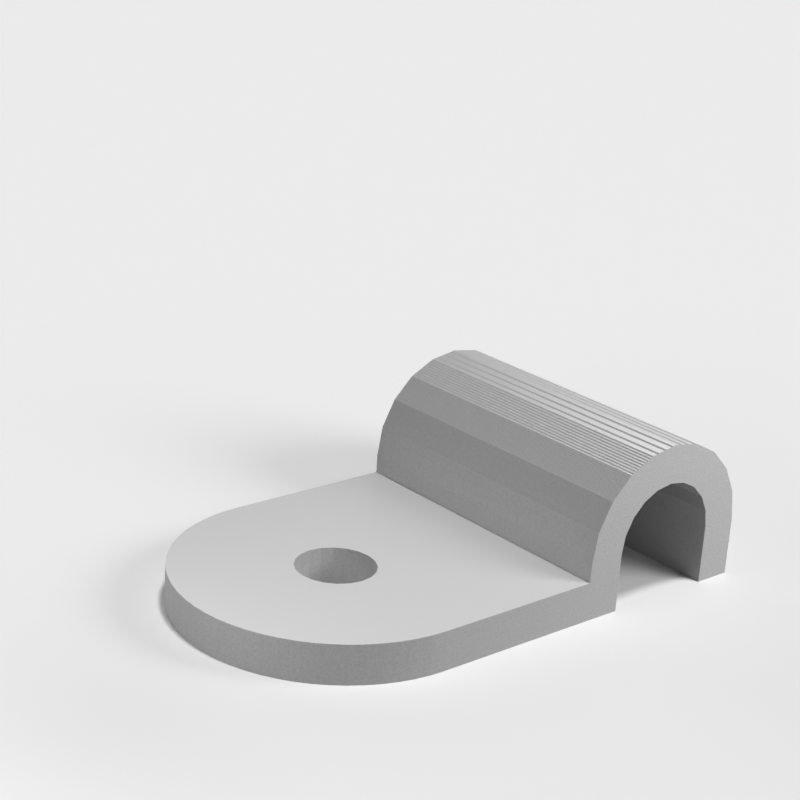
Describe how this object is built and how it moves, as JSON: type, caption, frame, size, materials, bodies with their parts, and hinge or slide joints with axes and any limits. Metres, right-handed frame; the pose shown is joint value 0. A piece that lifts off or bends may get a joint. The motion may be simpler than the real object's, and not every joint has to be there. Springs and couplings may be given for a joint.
{
  "type": "cable holder",
  "caption": "One-piece printed cable holder: a flat tab with a rounded end and a screw hole runs into a faceted arch that holds one round cable against the surface.",
  "frame": {"origin": "where the axis of the screw hole meets the face that lies against the wall or the desk", "axes": "+Z out of that face, along the screw towards its head; +X along the tab, from the screw to the cable; Y along the cable"},
  "size_m": [0.027, 0.016, 0.008],
  "materials": {
    "printed_plastic": "light neutral grey print, matte, with fine layer lines on every face that stands or slopes"
  },
  "bodies": {
    "root": {"cable_clip": "printed_plastic"}
  },
  "joints": []
}
